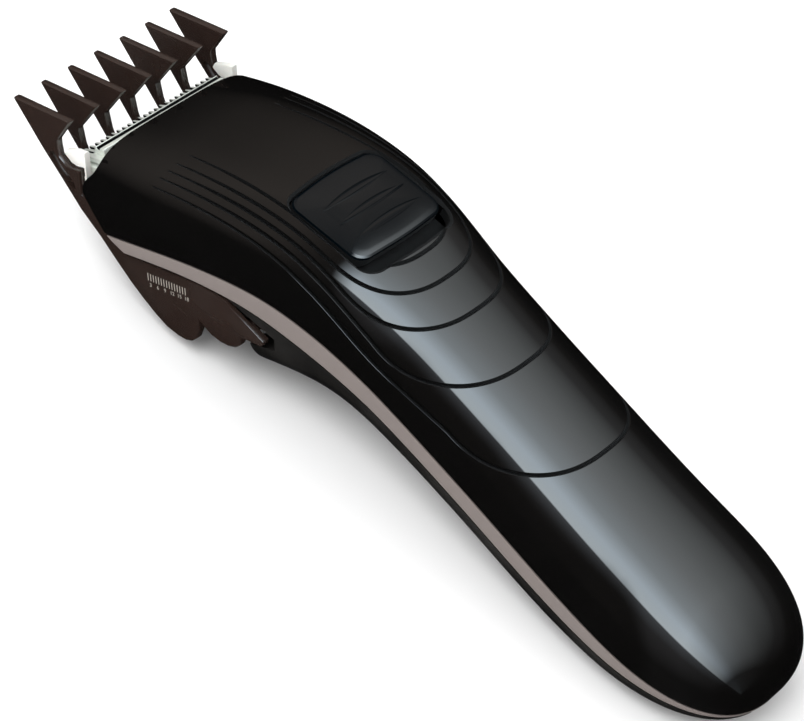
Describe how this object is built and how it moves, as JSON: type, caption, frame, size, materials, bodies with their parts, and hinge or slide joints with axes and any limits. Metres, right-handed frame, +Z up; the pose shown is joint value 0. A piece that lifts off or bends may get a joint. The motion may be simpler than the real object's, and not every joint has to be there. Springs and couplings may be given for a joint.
{
  "type": "hair clipper",
  "caption": "Corded hair clipper with a bent handle, a toothed steel cutting unit, a slide switch and an adjustable length comb over its head.",
  "frame": {"origin": "on the surface the clipper lies on, below the middle of its bounding box", "axes": "+X along the handle towards the tail, +Y across it, +Z up from the surface it lies on, out of the switch side"},
  "size_m": [0.1824, 0.0502, 0.0419],
  "materials": {
    "gloss_black": "high-gloss injection moulded plastic",
    "silver_trim": "satin silver paint",
    "matt_black": "finely textured plastic",
    "slate_grey": "satin plastic",
    "smoked_plastic": "dark smoked plastic",
    "white_plastic": "natural white plastic",
    "blade_steel": "ground and polished",
    "spring_steel": "bright rolled steel",
    "motor_steel": "zinc plated",
    "brass": "bare",
    "board_green": "solder resist over glass-epoxy laminate",
    "red_insulation": "soft sleeve",
    "black_insulation": "plain"
  },
  "bodies": {
    "casing": {"bottom_shell": "matt_black", "capacitor": "slate_grey", "casing_screw_1": "spring_steel", "casing_screw_2": "spring_steel", "casing_screw_3": "spring_steel", "circuit_board": "board_green", "cutter_frame": "white_plastic", "cutter_screw_left": "spring_steel", "cutter_screw_right": "spring_steel", "cutter_spring": "spring_steel", "fixed_cutter": "blade_steel", "inlet_pin_left": "brass", "inlet_pin_right": "brass", "lever_pivot_pin": "spring_steel", "motor_bracket": "white_plastic", "motor_can": "motor_steel", "motor_end_cap": "white_plastic", "motor_lead_black": "black_insulation", "motor_lead_red": "red_insulation", "motor_screw_left": "spring_steel", "motor_screw_right": "spring_steel", "motor_terminal_left": "brass", "motor_terminal_right": "brass", "power_inlet": "black_insulation", "rectifier": "black_insulation", "side_trim": "silver_trim", "slide_switch": "black_insulation", "supply_lead_black": "black_insulation", "supply_lead_red": "red_insulation", "switch_detent_spring": "spring_steel", "top_shell": "gloss_black"},
    "switch": {"switch_button": "slate_grey", "switch_carriage": "slate_grey", "slide_switch_knob": "white_plastic"},
    "comb": {"guide_comb": "smoked_plastic", "selector_spring": "spring_steel"},
    "selector": {"length_selector": "smoked_plastic"},
    "rotor": {"motor_shaft": "spring_steel", "eccentric_cam": "white_plastic"},
    "lever": {"drive_lever": "white_plastic"},
    "blade": {"moving_cutter": "blade_steel", "cutter_bridge": "white_plastic"}
  },
  "joints": [
    {"name": "switch_slide", "type": "slide", "parent": "casing", "child": "switch", "axis": [0.9999, 0, 0.0111], "range_m": [0, 0.0026]},
    {"name": "comb_slide", "type": "slide", "parent": "casing", "child": "comb", "axis": [-0.921, 0, -0.3896], "range_m": [0, 0.018]},
    {"name": "selector_press", "type": "slide", "parent": "comb", "child": "selector", "axis": [-0.3896, 0, 0.921], "range_m": [0, 0.001], "stiffness_N_per_m": 200, "springref_m": -0.002},
    {"name": "motor_spin", "type": "hinge", "parent": "casing", "child": "rotor", "pos_m": [-0.04845, 0, 0.01649], "axis": [0.921, 0, 0.3896], "continuous": true},
    {"name": "blade_slide", "type": "slide", "parent": "casing", "child": "blade", "axis": [0, 1, 0], "range_m": [-0.00102, 0.00102]},
    {"name": "lever_swing", "type": "hinge", "parent": "casing", "child": "lever", "pos_m": [-0.05823, 0, 0.01779], "axis": [-0.3896, 0, 0.921], "range_deg": [-9.1, 9.1]}
  ],
  "couplings": [
    {"joint": "lever_swing", "follows": "blade_slide", "rad_per_m": -153.85}
  ]
}
